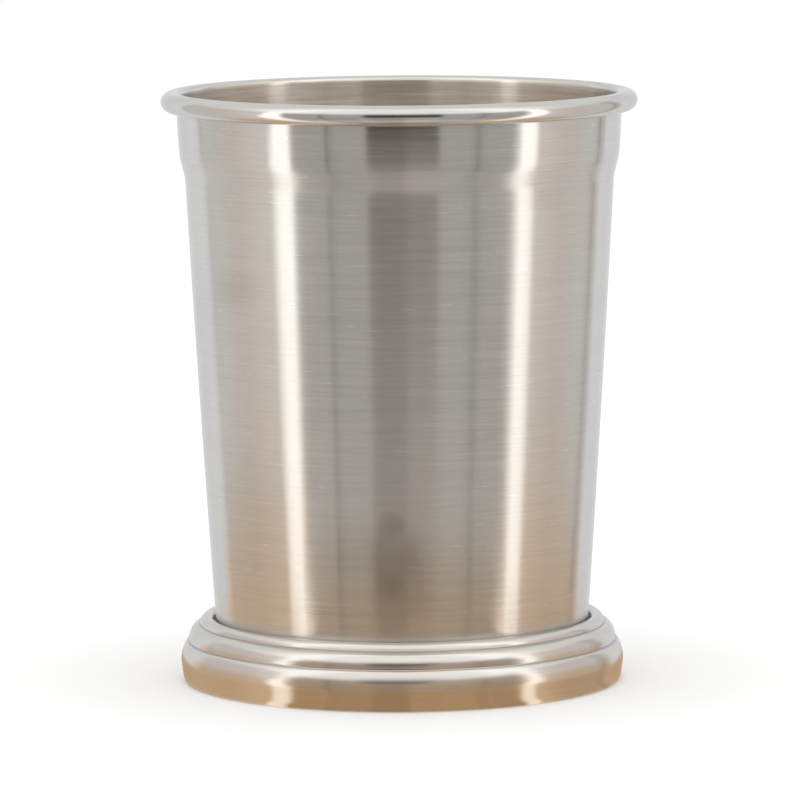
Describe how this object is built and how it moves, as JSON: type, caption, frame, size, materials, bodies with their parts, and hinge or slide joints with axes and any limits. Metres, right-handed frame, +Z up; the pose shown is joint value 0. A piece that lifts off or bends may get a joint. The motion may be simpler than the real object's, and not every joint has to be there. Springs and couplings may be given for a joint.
{
  "type": "julep cup",
  "caption": "Tapered drinking cup of brushed steel with a curled rim and a stacking shoulder, standing in a hollow stepped foot ring closed by a base plate.",
  "frame": {"origin": "centre of the resting plane under the foot", "axes": "+Z up along the cup's axis, +X and +Y level"},
  "size_m": [0.0868, 0.0868, 0.108],
  "materials": {
    "cup_steel": "brushed around the cup, with a polished rim bead",
    "foot_steel": "satin polished",
    "plate_steel": "brushed in rings",
    "solder": "dull solder",
    "weld_metal": "dark as welded"
  },
  "bodies": {
    "root": {"cup_body": "cup_steel", "foot_ring": "foot_steel", "base_plate": "plate_steel", "seam_solder": "solder", "floor_welds": "weld_metal"}
  },
  "joints": []
}
